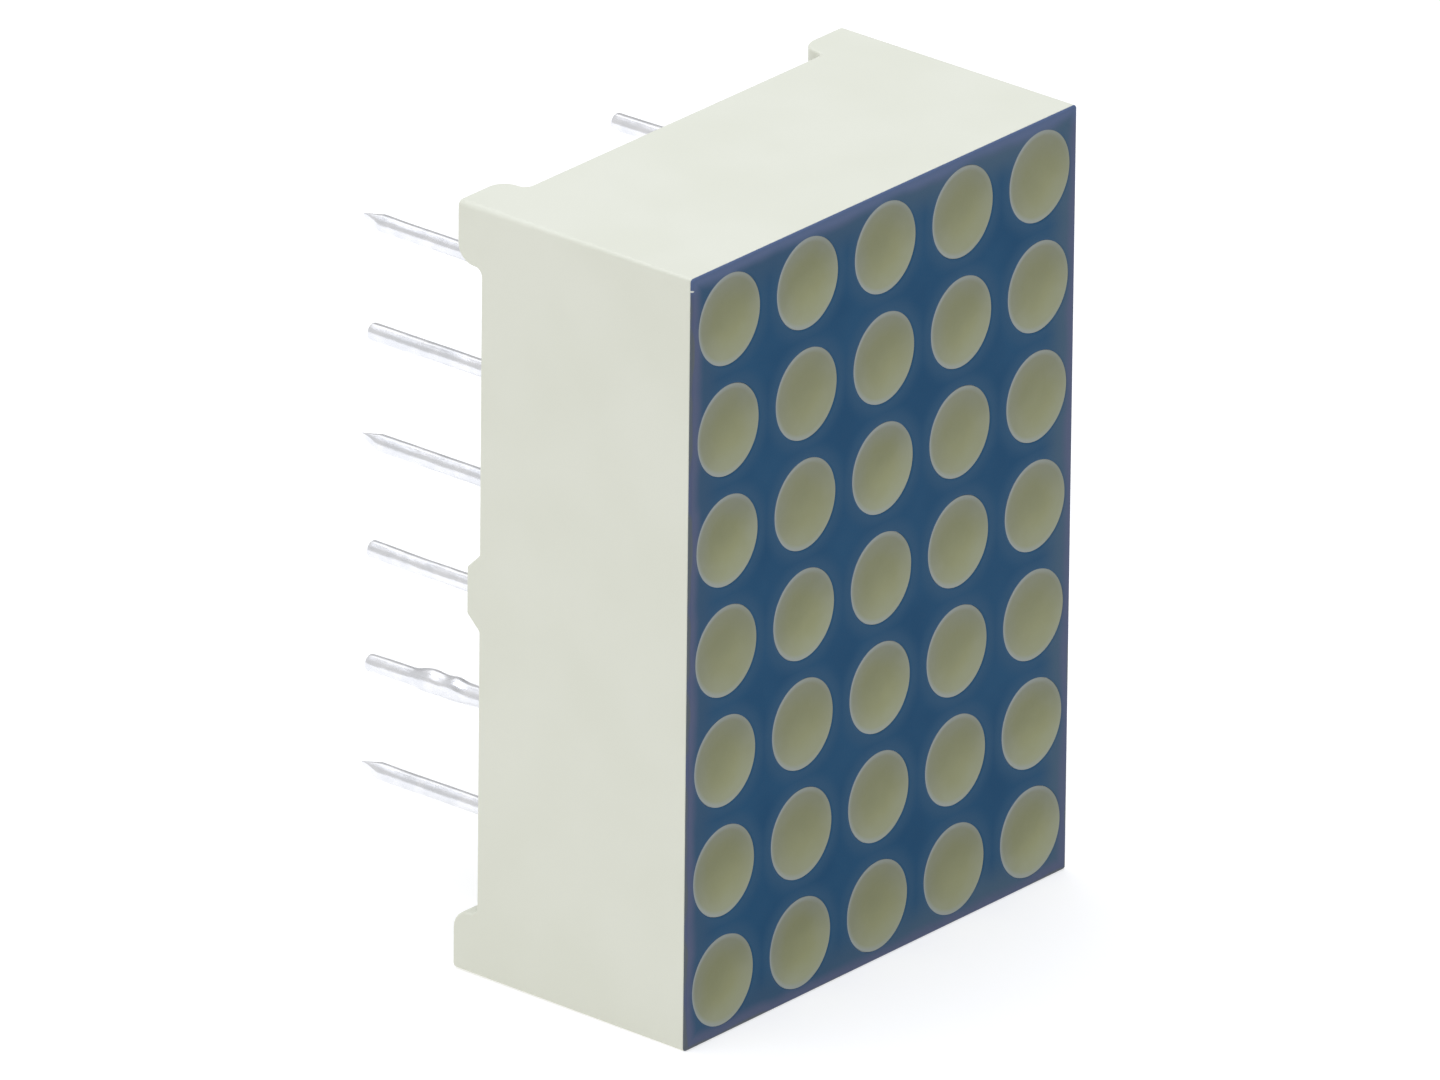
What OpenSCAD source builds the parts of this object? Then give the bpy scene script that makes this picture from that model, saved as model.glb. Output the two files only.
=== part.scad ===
// LED dot matrix display: five columns and seven rows of round dots behind a blue printed face,
// in a white moulded housing with two rows of six pins.
// Millimetres. X runs to the right across the face, Z up along the columns, and the pins point to +Y.
// The origin is the centre of the pin grid, on the plane that the four feet seat on.

/* [Dots] */
// Spacing of the dots, along the columns and along the rows
dot_pitch = 2.54; // [2.48:0.01:2.58]
// Diameter of a dot at the face
dot_d = 2.0; // [1.7:0.05:2.1]
// Diameter of a cup where it meets the board
cup_rear_d = 1.1; // [1.05:0.05:1.2]
// Depth that the cast resin has shrunk at the middle of a dot
dish_depth = 0.05; // [0.02:0.01:0.1]
// Width of the flat resin rim round that hollow
dish_rim = 0.04; // [0.02:0.01:0.1]

/* [Housing] */
// Width across the five columns
housing_w = 12.6; // [12.5:0.05:13.4]
// Height along the seven rows
housing_h = 17.78; // [17.7:0.02:18.6]
// Depth from the moulded front face to the rear rim
housing_d = 5.8; // [5.6:0.1:7]
// Thickness of the walls round the rear recess
wall_t = 0.55; // [0.4:0.05:0.6]
// Radius of the four edges that run from front to rear
corner_r = 0.2; // [0.1:0.05:0.5]
// Radius of the edges round the front face
edge_r = 0.1; // [0.05:0.01:0.2]
// Radius in the corners of the rear recess
recess_r = 0.3; // [0.1:0.05:0.6]
// Diameter of the pocket in the block over the front end of each pin
pocket_d = 1.1; // [1.06:0.02:1.2]
// Depth of that pocket
pocket_depth = 0.7; // [0.5:0.1:1.5]

/* [Feet] */
// Height of the corner feet behind the rear rim
foot_h = 0.66; // [0.5:0.02:1]
// Length of a foot along the short side
foot_w = 1.45; // [1.2:0.05:2.5]
// Length of a foot along the long side
foot_l = 1.42; // [1.2:0.01:2.5]
// Radius of the free ends of a foot
foot_r = 0.45; // [0.1:0.05:0.5]
// Radius in the angle between a foot and the rim
foot_fillet = 0.18; // [0.05:0.01:0.2]
// Height of the nub at the middle of each long side
nub_h = 0.34; // [0.2:0.02:0.45]
// Length of the nub where it meets the rim
nub_base = 1.76; // [1.2:0.02:3]
// Length of the flat on top of the nub
nub_top = 1.08; // [0.5:0.02:1.2]

/* [Face ink] */
// Thickness of the printed ink
ink_t = 0.04; // [0.02:0.01:0.08]

/* [Board] */
// Thickness of the circuit board
board_t = 1.0; // [0.8:0.1:1.2]
// Gap between the board's edge and the walls, filled by the potting
board_gap = 0.1; // [0.05:0.01:0.15]
// Thickness of the copper on each side
copper_t = 0.04; // [0.02:0.01:0.07]
// Width of the tracks
track_w = 0.4; // [0.2:0.05:0.45]
// Width of the strip that carries the chips of one column
strip_w = 0.5; // [0.46:0.01:0.56]
// Diameter of the pads round the pins
pad_d = 1.0; // [0.8:0.05:1.04]
// Diameter of the plated holes that link the two sides
via_d = 0.3; // [0.2:0.02:0.36]
// Diameter of the pads round those holes
via_pad_d = 0.6; // [0.5:0.02:0.7]

/* [Chips and wires] */
// Width of a chip
chip_w = 0.3; // [0.2:0.01:0.32]
// Height of a chip
chip_h = 0.2; // [0.1:0.01:0.3]
// Diameter of the spot of silver resin under a chip
die_bond_d = 0.44; // [0.43:0.01:0.46]
// Thickness of that spot
die_bond_t = 0.02; // [0.01:0.01:0.04]
// Diameter of a bond wire
wire_d = 0.03; // [0.02:0.01:0.04]
// Distance from the middle of a chip to the foot of its wire
wire_reach = 0.4; // [0.36:0.01:0.48]
// Diameter of the ball that fixes a wire to its chip
ball_d = 0.09; // [0.06:0.01:0.12]
// Height of that ball
ball_h = 0.03; // [0.02:0.01:0.05]
// Gap between a chip's strip and the end of the track that takes its wire
bond_gap = 0.08; // [0.04:0.01:0.1]

/* [Pins] */
// Diameter of a pin over its tin
pin_d = 0.4; // [0.3:0.02:0.5]
// Thickness of the tin that the pins were dipped in after potting; inside, the wire is bare
tin_t = 0.01; // [0.005:0.005:0.03]
// Spacing of the pins in a row
pin_pitch = 2.54; // [2.5:0.01:2.58]
// Distance between the two rows of pins
pin_row_gap = 7.62; // [7.55:0.01:7.7]
// Length of the longest pin behind the seating plane
pin_reach = 4.68; // [3:0.02:8]
// Length of a pin in front of the board
pin_head = 0.35; // [0.2:0.05:0.45]
// Length of the slope of a pinched pin end
tip_l = 0.45; // [0.2:0.05:0.8]
// Thickness left at a pinched pin end
tip_t = 0.06; // [0.03:0.01:0.15]
// Turn of the pinched edge away from upright, in degrees
tip_turn = 35; // [0:5:90]
// Diameter of the solder that has built up on one pin
build_up_d = 0.54; // [0.52:0.02:0.7]
// Distance that it reaches behind the seating plane
build_up_reach = 3.3; // [1:0.1:3.6]
// Length over which it tapers down to the pin
build_up_taper = 0.3; // [0.1:0.05:0.6]

/* [Solder and potting] */
// Gap between a pin and its hole in the board, filled with solder
hole_gap = 0.06; // [0.03:0.01:0.08]
// Width and height of the solder fillets
solder_w = 0.26; // [0.15:0.01:0.28]
// Thickness of the potting over the rear of the board
potting_t = 0.75; // [0.5:0.05:1]
// Depth of the potting's surface below the rear rim
potting_drop = 0.35; // [0.2:0.05:0.5]
// Width and height of the potting's creep up each pin
creep_w = 0.15; // [0.05:0.01:0.25]

/* [Hidden] */
$fn = 64;
columns = 5;
rows = 7;
pins_a_side = 6;
pin_count = 2 * pins_a_side;

// The pin that each row and each column of dots is wired to
row_pin = [1, 12, 11, 3, 9, 6, 7];
column_pin = [2, 4, 5, 8, 10];
// The column that reaches its pin on the rear of the board, because another strip is in its way
crossing_column = 3;

// How much shorter each pin was cut than the longest
pin_trim = [0.02, 0.18, 0, 0.2, 0.16, 0.04, 0.3, 0.1, 0.35, 0.15, 0.3, 0.45];
// Pins whose end was pinched to an edge; the others were cut square
pinched_pins = [1, 3, 6, 8, 10];
// The pin with solder built up on its root
built_up_pin = 5;

// Depths along Y, from rear to front; the reflector block fills what the board and the potting leave
rim_y = -foot_h;
potting_y = rim_y - potting_drop;
copper_rear = potting_y - potting_t;
board_rear = copper_rear - copper_t;
board_front = board_rear - board_t;
block_y = board_front - copper_t;
face_y = rim_y - housing_d;
ink_y = face_y - ink_t;
cup_d = block_y - face_y;
pin_front = board_front - pin_head;
// The tin begins where the potting's creep up the pins ends
tin_y = potting_y + creep_w;

recess_w = housing_w - 2 * wall_t;
recess_h = housing_h - 2 * wall_t;
board_w = recess_w - 2 * board_gap;
board_h = recess_h - 2 * board_gap;
bare_d = pin_d - 2 * tin_t;
pin_hole_d = bare_d + 2 * hole_gap;
// A cut runs this far past the face that it opens through
clear = 0.5;
// A fillet keeps this share of its width as a blunt lip
lip = 0.1;
// Least radius of a corner that follows another one inside it
least_r = 0.01;
// Feet and nubs run this far into the rim that they stand on
root = 0.3;

function dot_x(c) = (c - (columns + 1) / 2) * dot_pitch;
function dot_z(r) = ((rows + 1) / 2 - r) * dot_pitch;
// Pins 1 to 6 run down the left side seen from the front, and 7 to 12 back up the right side
function on_left(k) = k <= pins_a_side;
function pin_x(k) = (on_left(k) ? -1 : 1) * pin_row_gap / 2;
function pin_z(k) = (on_left(k) ? (pins_a_side + 1) / 2 - k : k - (3 * pins_a_side + 1) / 2) * pin_pitch;
function pin_end(k) = pin_reach - pin_trim[k - 1];
function has(list, value) = len(search(value, list)) > 0;
// A chip's wire runs to +X, apart from the last column, which shares the links of the column beside it
function wire_side(c) = c < columns ? 1 : -1;
function link_x(c) = dot_x(c) + dot_pitch / 2;
function dot_name(r, c) = str("dot_r", r, "_c", c);
function pin_name(k) = str("pin_", k);

// ---- Shapes that several pieces share ----

module rounded_rect(w, h, r) {
    square([w - 2 * r, h], center = true);
    square([w, h - 2 * r], center = true);
    for (x = [-1, 1], y = [-1, 1])
        translate([x * (w / 2 - r), y * (h / 2 - r)])
            circle(r);
}

// Extrudes an outline drawn in X and Z between two depths
module slab(front, rear) {
    translate([0, rear, 0])
        rotate([90, 0, 0])
            linear_extrude(rear - front)
                children();
}

// Stands a turned shape on a depth, with its axis pointing to the rear
module turned(x, depth, z) {
    translate([x, depth, z])
        rotate([-90, 0, 0])
            children();
}

// Places a chip's pieces on the copper, with local Z pointing out of the cup
// and local X towards the foot of the wire
module in_cup(r, c) {
    translate([dot_x(c), block_y, dot_z(r)])
        rotate([90, 0, 0])
            rotate(wire_side(c) > 0 ? 0 : 180)
                children();
}

module at_pins() {
    for (k = [1:pin_count])
        translate([pin_x(k), pin_z(k)])
            children();
}

// A hollow fillet in the angle between a pin and a flat face
module ring_fillet(inner_d, w) {
    rotate_extrude()
        translate([inner_d / 2, 0])
            difference() {
                square([w, w]);
                translate([w, w])
                    circle(w * (1 - lip));
            }
}

// ---- Housing ----

module housing_outline() {
    rounded_rect(housing_w, housing_h, corner_r);
}

module recess_outline() {
    rounded_rect(recess_w, recess_h, recess_r);
}

// A side view of the body: square at the rear, and rounded at the front by edge_r
module rounded_front(width) {
    translate([0, -edge_r / 2])
        square([width, housing_d - edge_r], center = true);
    square([width - 2 * edge_r, housing_d], center = true);
    for (x = [-1, 1])
        translate([x * (width / 2 - edge_r), housing_d / 2 - edge_r])
            circle(edge_r);
}

module housing_body() {
    middle_y = rim_y - housing_d / 2;
    intersection() {
        slab(face_y, rim_y)
            housing_outline();
        translate([0, middle_y, 0])
            linear_extrude(housing_h + 2 * clear, center = true)
                rotate(180)
                    rounded_front(housing_w);
        translate([0, middle_y, 0])
            rotate([0, 90, 0])
                linear_extrude(housing_w + 2 * clear, center = true)
                    rotate(180)
                        rounded_front(housing_h);
    }
}

// Side view of a foot's leg, from the corner inwards, with the rim at y = 0
module leg_profile(l) {
    r = min(foot_r, foot_h);
    translate([0, -root])
        square([l - r, foot_h + root]);
    translate([0, -root])
        square([l, foot_h + root - r]);
    translate([l - r, foot_h - r])
        circle(r);
    difference() {
        translate([l, -root])
            square([foot_fillet, root + foot_fillet]);
        translate([l + foot_fillet, foot_fillet])
            circle(foot_fillet);
    }
}

// An L-shaped foot that follows the wall round the corner on +X and +Z
module foot() {
    translate([housing_w / 2, rim_y, housing_h / 2]) {
        mirror([1, 0, 0])
            translate([0, 0, -wall_t])
                linear_extrude(wall_t)
                    leg_profile(foot_w);
        translate([-wall_t, 0, 0])
            rotate([0, 90, 0])
                linear_extrude(wall_t)
                    leg_profile(foot_l);
    }
}

module feet() {
    intersection() {
        slab(rim_y - root, 0)
            housing_outline();
        for (x = [0, 1], z = [0, 1])
            mirror([x, 0, 0])
                mirror([0, 0, z])
                    foot();
    }
}

// Wedge-sided nub on the rim of the long wall on +X
module nub() {
    translate([housing_w / 2 - wall_t, rim_y, 0])
        rotate([0, 90, 0])
            linear_extrude(wall_t)
                polygon([
                    [-nub_base / 2, -root],
                    [nub_base / 2, -root],
                    [nub_base / 2, 0],
                    [nub_top / 2, nub_h],
                    [-nub_top / 2, nub_h],
                    [-nub_base / 2, 0]
                ]);
}

module cup_cut() {
    rotate_extrude()
        polygon([
            [0, -clear],
            [dot_d / 2, -clear],
            [dot_d / 2, 0],
            [cup_rear_d / 2, cup_d],
            [cup_rear_d / 2, cup_d + clear],
            [0, cup_d + clear]
        ]);
}

module housing() {
    color("whitesmoke")
        difference() {
            union() {
                housing_body();
                feet();
                nub();
                mirror([1, 0, 0])
                    nub();
            }
            slab(block_y, clear)
                recess_outline();
            for (r = [1:rows], c = [1:columns])
                turned(dot_x(c), face_y, dot_z(r))
                    cup_cut();
            slab(block_y - pocket_depth, block_y + clear)
                at_pins()
                    circle(d = pocket_d);
        }
}

// ---- Printed face ----

module face_ink() {
    color("steelblue")
        slab(ink_y, face_y)
            difference() {
                rounded_rect(housing_w - 2 * edge_r, housing_h - 2 * edge_r, max(corner_r - edge_r, least_r));
                for (r = [1:rows], c = [1:columns])
                    translate([dot_x(c), dot_z(r)])
                        circle(d = dot_d);
            }
}

// ---- Circuit board ----

module via_places() {
    for (r = [1:rows], c = [1:columns - 1])
        translate([link_x(c), dot_z(r)])
            children();
    translate([dot_x(crossing_column), pin_z(column_pin[crossing_column - 1])])
        children();
}

module board_outline() {
    rounded_rect(board_w, board_h, max(recess_r - board_gap, least_r));
}

module board() {
    color("darkseagreen")
        slab(board_front, board_rear)
            difference() {
                board_outline();
                at_pins()
                    circle(d = pin_hole_d);
                via_places()
                    circle(d = via_d);
            }
}

// A straight track between two places on the board
module track(from, to, w) {
    low = [min(from.x, to.x), min(from.y, to.y)];
    high = [max(from.x, to.x), max(from.y, to.y)];
    translate(low - [w, w] / 2)
        square(high - low + [w, w]);
}

// Track that takes the foot of one chip's wire to its plated hole
module bond_track(r, c) {
    start = dot_x(c) + wire_side(c) * (strip_w / 2 + bond_gap + track_w / 2);
    track([start, dot_z(r)], [dot_x(c) + wire_side(c) * dot_pitch / 2, dot_z(r)], track_w);
}

module front_copper() {
    color("peru")
        slab(block_y, board_front)
            difference() {
                union() {
                    for (c = [1:columns])
                        track([dot_x(c), dot_z(1)], [dot_x(c), dot_z(rows)], strip_w);
                    for (c = [1:columns])
                        if (c != crossing_column)
                            column_lead(c);
                    for (r = [1:rows], c = [1:columns])
                        bond_track(r, c);
                    at_pins()
                        circle(d = pad_d);
                    via_places()
                        circle(d = via_pad_d);
                }
                at_pins()
                    circle(d = pin_hole_d);
                via_places()
                    circle(d = via_d);
            }
}

// Track from a column's strip to its pin
module column_lead(c) {
    k = column_pin[c - 1];
    track([dot_x(c), pin_z(k)], [pin_x(k), pin_z(k)], track_w);
}

// Track along a row of dots, and its turn to the row's pin
module row_lead(r) {
    k = row_pin[r - 1];
    track([link_x(1), dot_z(r)], [link_x(columns - 1), dot_z(r)], track_w);
    track([pin_x(k), dot_z(r)], [pin_x(k), pin_z(k)], track_w);
}

module rear_copper() {
    color("peru")
        slab(board_rear, copper_rear)
            difference() {
                union() {
                    for (r = [1:rows])
                        row_lead(r);
                    column_lead(crossing_column);
                    at_pins()
                        circle(d = pad_d);
                    via_places()
                        circle(d = via_pad_d);
                }
                at_pins()
                    circle(d = pin_hole_d);
                via_places()
                    circle(d = via_d);
            }
}

// Copper plugs through the board, from the front copper to the rear copper
module links() {
    color("peru")
        slab(block_y, copper_rear)
            via_places()
                circle(d = via_d);
}

// ---- Chips and wires ----

module die_bond_shape() {
    cylinder(d = die_bond_d, h = die_bond_t);
}

module chip_shape() {
    translate([-chip_w / 2, -chip_w / 2, die_bond_t])
        cube([chip_w, chip_w, chip_h]);
}

// Ball on the chip, half loop over its edge, and a straight leg down to the copper
module wire_shape() {
    chip_top = die_bond_t + chip_h;
    loop_z = chip_top + ball_h;
    translate([0, 0, chip_top])
        cylinder(d = ball_d, h = ball_h);
    translate([wire_reach / 2, 0, loop_z])
        rotate([90, 0, 0])
            rotate_extrude(angle = 180)
                translate([wire_reach / 2, 0])
                    circle(d = wire_d);
    translate([wire_reach, 0, 0])
        cylinder(d = wire_d, h = loop_z);
}

module die_bonds() {
    color("silver")
        for (r = [1:rows], c = [1:columns])
            in_cup(r, c)
                die_bond_shape();
}

module chips() {
    color("khaki")
        for (r = [1:rows], c = [1:columns])
            in_cup(r, c)
                chip_shape();
}

module bond_wires() {
    color("gold")
        for (r = [1:rows], c = [1:columns])
            in_cup(r, c)
                wire_shape();
}

// ---- Resin dots ----

// Ball that hollows the front of a dot
module dish_cut() {
    half_chord = dot_d / 2 - dish_rim;
    dish_r = (half_chord * half_chord + dish_depth * dish_depth) / (2 * dish_depth);
    translate([0, 0, dish_depth - dish_r])
        sphere(dish_r, $fn = 256);
}

module resin_dot(r, c) {
    color("darkkhaki")
        difference() {
            turned(dot_x(c), ink_y, dot_z(r))
                difference() {
                    rotate_extrude()
                        polygon([
                            [0, 0],
                            [dot_d / 2, 0],
                            [dot_d / 2, ink_t],
                            [cup_rear_d / 2, ink_t + cup_d],
                            [0, ink_t + cup_d]
                        ]);
                    dish_cut();
                }
            in_cup(r, c) {
                die_bond_shape();
                chip_shape();
                wire_shape();
            }
        }
}

// ---- Pins, solder and potting ----

// Outline that leaves a wedge at the end of a pin of length l
module wedge_profile(l) {
    slope = tip_l / (pin_d / 2 - tip_t / 2);
    wide = pin_d;
    shoulder = l - tip_l - (wide - pin_d / 2) * slope;
    polygon([
        [-wide, -clear],
        [wide, -clear],
        [wide, shoulder],
        [tip_t / 2, l],
        [-tip_t / 2, l],
        [-wide, shoulder]
    ]);
}

// The tinned stretch, from the potting to the cut end
module free_pin(k) {
    l = pin_end(k) - tin_y;
    turned(pin_x(k), tin_y, pin_z(k))
        if (has(pinched_pins, k))
            intersection() {
                cylinder(d = pin_d, h = l + clear);
                rotate([90, 0, tip_turn - 90])
                    linear_extrude(2 * pin_d, center = true)
                        wedge_profile(l);
            }
        else
            cylinder(d = pin_d, h = l);
}

// The bare wire through the potting and the board
module bare_wire(k) {
    turned(pin_x(k), pin_front, pin_z(k))
        cylinder(d = bare_d, h = tin_y - pin_front);
}

// Solder that has run along a pin, tapering down at both ends
module build_up(k) {
    full_l = build_up_reach - 2 * build_up_taper - tin_y;
    turned(pin_x(k), tin_y, pin_z(k)) {
        cylinder(d1 = pin_d, d2 = build_up_d, h = build_up_taper);
        translate([0, 0, build_up_taper])
            cylinder(d = build_up_d, h = full_l);
        translate([0, 0, build_up_taper + full_l])
            cylinder(d1 = build_up_d, d2 = pin_d, h = build_up_taper);
    }
}

module pin(k) {
    color("silver") {
        free_pin(k);
        bare_wire(k);
        if (k == built_up_pin)
            build_up(k);
    }
}

// Solder round one pin: a sleeve through the board and a fillet on each side
module solder_joint(k) {
    turned(pin_x(k), block_y, pin_z(k))
        difference() {
            union() {
                cylinder(d = pin_hole_d, h = copper_rear - block_y);
                mirror([0, 0, 1])
                    ring_fillet(bare_d, solder_w);
                translate([0, 0, copper_rear - block_y])
                    ring_fillet(bare_d, solder_w);
            }
            translate([0, 0, -solder_w - clear])
                cylinder(d = bare_d, h = copper_rear - block_y + 2 * (solder_w + clear));
        }
}

module solder_joints() {
    color("lightgray")
        for (k = [1:pin_count])
            solder_joint(k);
}

module potting() {
    color("darkkhaki")
        difference() {
            union() {
                slab(board_front, potting_y)
                    recess_outline();
                for (k = [1:pin_count])
                    turned(pin_x(k), potting_y, pin_z(k))
                        ring_fillet(bare_d, creep_w);
            }
            board_and_holes();
            rear_copper();
            for (k = [1:pin_count])
                solder_joint(k);
            for (k = [1:pin_count])
                pin(k);
        }
}

// Space taken by the board, with its holes closed
module board_and_holes() {
    slab(board_front - clear, board_rear)
        board_outline();
    slab(board_rear, copper_rear)
        via_places()
            circle(d = via_d);
    slab(board_rear, copper_rear)
        at_pins()
            circle(d = pin_hole_d);
}

housing();
face_ink();
board();
front_copper();
rear_copper();
links();
die_bonds();
chips();
bond_wires();
solder_joints();
potting();
for (r = [1:rows], c = [1:columns])
    resin_dot(r, c);
for (k = [1:pin_count])
    pin(k);
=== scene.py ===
import math
import random

import bmesh
import bpy
from mathutils import Matrix, Vector, noise


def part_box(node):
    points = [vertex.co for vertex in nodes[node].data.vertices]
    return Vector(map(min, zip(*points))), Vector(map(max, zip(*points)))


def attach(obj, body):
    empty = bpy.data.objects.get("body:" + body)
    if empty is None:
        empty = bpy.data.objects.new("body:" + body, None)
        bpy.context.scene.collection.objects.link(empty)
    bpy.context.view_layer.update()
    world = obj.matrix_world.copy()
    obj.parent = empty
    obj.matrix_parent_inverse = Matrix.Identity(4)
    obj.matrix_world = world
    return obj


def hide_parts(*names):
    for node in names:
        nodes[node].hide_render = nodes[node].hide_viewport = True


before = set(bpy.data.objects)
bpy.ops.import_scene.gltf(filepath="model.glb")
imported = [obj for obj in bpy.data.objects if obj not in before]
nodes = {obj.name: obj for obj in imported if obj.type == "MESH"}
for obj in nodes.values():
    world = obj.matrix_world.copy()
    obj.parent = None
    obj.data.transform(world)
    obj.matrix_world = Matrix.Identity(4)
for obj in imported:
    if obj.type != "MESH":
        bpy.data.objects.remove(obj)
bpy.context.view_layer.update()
MM = 0.001

# ---- Sizes, from the frame and the moulding's own drawing ----

COLUMNS, ROWS, PINS = 5, 7, 12
housing_low, housing_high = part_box("housing")
WIDTH = housing_high.x - housing_low.x
HEIGHT = housing_high.z - housing_low.z
SEAT_Y = housing_high.y
FACE_Y = housing_low.y
INK_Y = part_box("face_ink")[0].y
BLOCK_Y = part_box("front_copper")[0].y
BOARD_FRONT_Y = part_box("board")[0].y
BOARD_REAR_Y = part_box("board")[1].y
PIN_FRONT_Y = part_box("pin_3")[0].y

WALL = 0.55 * MM
CORNER_R = 0.14 * MM
FRONT_EDGE_R = 0.06 * MM
FRONT_CORNER_R = 0.07 * MM
RECESS_R = 0.3 * MM
RIM_Y = SEAT_Y - 0.66 * MM
FOOT_H = SEAT_Y - RIM_Y
FOOT_ACROSS = 1.45 * MM
FOOT_ALONG = 1.42 * MM
FOOT_R = 0.45 * MM
FOOT_FILLET = 0.18 * MM
NUB_H = 0.34 * MM
NUB_BASE = 1.76 * MM
NUB_TOP = 1.08 * MM
NUB_TOP_R = 0.08 * MM
NUB_BASE_R = 0.1 * MM
RIM_EDGE_R = 0.06 * MM
CUP_REAR_R = 0.55 * MM
POCKET_R = 0.55 * MM
POCKET_DEPTH = 0.7 * MM

CREEP = 0.15 * MM
POTTING_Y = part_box("potting")[1].y - CREEP
TIN_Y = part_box("potting")[1].y
TIN_R = 0.2 * MM
WIRE_R = 0.19 * MM
BOARD_GAP = 0.1 * MM

# The four sides of the outline: outward normal and direction of travel in X and Z
SIDES = [((1, 0), (0, 1)), ((0, 1), (-1, 0)), ((-1, 0), (0, -1)), ((0, -1), (1, 0))]
CORNER_STEPS = 8


def middle(name):
    low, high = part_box(name)
    return (low + high) / 2


def dot_name(row, column):
    return f"dot_r{row}_c{column}"


dot_places = {
    (r, c): middle(dot_name(r, c))
    for r in range(1, ROWS + 1)
    for c in range(1, COLUMNS + 1)
}
pin_places = {k: middle(f"pin_{k}") for k in range(1, PINS + 1)}
PITCH = dot_places[1, 2].x - dot_places[1, 1].x

# The cups came out of their mould a little taller than wide, and the ink's windows follow them
CUP_FRONT_R = 1.012 * MM
CUP_STRETCH = 0.02 * MM
WINDOW_R = 1.015 * MM
CUP_STEPS = 64
DOT_STEPS = 96
POCKET_STEPS = 32


# ---- Node helpers ----

def new_group(name, inputs, outputs):
    """A shader node group with named sockets. inputs: name -> (kind, value); outputs: name -> kind."""
    group = bpy.data.node_groups.new(name, "ShaderNodeTree")
    for label, (kind, value) in inputs.items():
        socket = group.interface.new_socket(label, in_out="INPUT", socket_type=f"NodeSocket{kind}")
        socket.default_value = value
    for label, kind in outputs.items():
        group.interface.new_socket(label, in_out="OUTPUT", socket_type=f"NodeSocket{kind}")
    return group, group.nodes.new("NodeGroupInput"), group.nodes.new("NodeGroupOutput")


def node(tree, kind, links=None, **settings):
    """A node: links gives its sockets a link or a value, and settings are its own attributes."""
    made = tree.nodes.new(kind)
    for key, value in settings.items():
        setattr(made, key, value)
    for key, value in (links or {}).items():
        if isinstance(value, bpy.types.NodeSocket):
            tree.links.new(value, made.inputs[key])
        else:
            made.inputs[key].default_value = value
    return made


def maths(tree, operation, a, b=None, c=None):
    made = tree.nodes.new("ShaderNodeMath")
    made.operation = operation
    for i, value in enumerate((a, b, c)):
        if isinstance(value, bpy.types.NodeSocket):
            tree.links.new(value, made.inputs[i])
        elif value is not None:
            made.inputs[i].default_value = value
    return made.outputs[0]


def sum_of_squares(tree, a, b):
    return maths(tree, "ADD", maths(tree, "MULTIPLY", a, a), maths(tree, "MULTIPLY", b, b))


def mix(tree, factor, a, b, blend="MIX"):
    made = tree.nodes.new("ShaderNodeMix")
    made.data_type = "RGBA"
    made.blend_type = blend
    for index, value in ((0, factor), (6, a), (7, b)):
        if isinstance(value, bpy.types.NodeSocket):
            tree.links.new(value, made.inputs[index])
        elif index == 0:
            made.inputs[index].default_value = value
        else:
            made.inputs[index].default_value = (*value, 1)
    return made.outputs[2]


def ramp(tree, value, low, high):
    """Maps low to 0 and high to 1, with a smooth step between."""
    made = tree.nodes.new("ShaderNodeMapRange")
    made.interpolation_type = "SMOOTHSTEP"
    tree.links.new(value, made.inputs["Value"])
    made.inputs["From Min"].default_value = low
    made.inputs["From Max"].default_value = high
    return made.outputs["Result"]


def place_in_mm(tree, stretch=(1, 1, 1)):
    """Place on the piece in millimetres, times stretch."""
    place = node(tree, "ShaderNodeTexCoord").outputs["Object"]
    per_metre = tuple(k / MM for k in stretch)
    return node(tree, "ShaderNodeVectorMath", {0: place, 1: per_metre}, operation="MULTIPLY").outputs[0]


def srgb(*values):
    """A colour given as it reads on a swatch, from 0 to 255, as linear light."""
    out = []
    for v in values:
        v /= 255
        out.append(v / 12.92 if v <= 0.04045 else ((v + 0.055) / 1.055) ** 2.4)
    return tuple(out)


# ---- Effects that several finishes share ----

def make_grain():
    """Fine grain of a moulded or printed surface. Grain is its height, and Mottle drifts slowly."""
    group, given, out = new_group(
        "fine_grain",
        {"Grain Size": ("Float", 0.05), "Mottle Size": ("Float", 2.0)},
        {"Grain": "Float", "Mottle": "Float"},
    )
    in_mm = place_in_mm(group)
    fine = maths(group, "DIVIDE", 1.0, given.outputs["Grain Size"])
    slow = maths(group, "DIVIDE", 1.0, given.outputs["Mottle Size"])
    small = {"Vector": in_mm, "Scale": fine, "Detail": 3.0, "Roughness": 0.6}
    grain = node(group, "ShaderNodeTexNoise", small)
    large = {"Vector": in_mm, "Scale": slow, "Detail": 2.0, "Roughness": 0.5}
    drift = node(group, "ShaderNodeTexNoise", large)
    group.links.new(grain.outputs["Fac"], out.inputs["Grain"])
    group.links.new(ramp(group, drift.outputs["Fac"], 0.3, 0.7), out.inputs["Mottle"])
    return group


def make_specks():
    """Sparse small specks of dust or of a pinhole, as a mask."""
    group, given, out = new_group(
        "specks",
        {"Spacing": ("Float", 1.0), "Size": ("Float", 0.06)},
        {"Mask": "Float"},
    )
    in_mm = place_in_mm(group)
    scale = maths(group, "DIVIDE", 1.0, given.outputs["Spacing"])
    cells = node(group, "ShaderNodeTexVoronoi", {"Vector": in_mm, "Scale": scale, "Randomness": 1.0})
    reach = maths(group, "DIVIDE", given.outputs["Size"], given.outputs["Spacing"])
    near = maths(group, "LESS_THAN", cells.outputs["Distance"], reach)
    group.links.new(near, out.inputs["Mask"])
    return group


GRAIN = make_grain()
SPECKS = make_specks()


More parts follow.
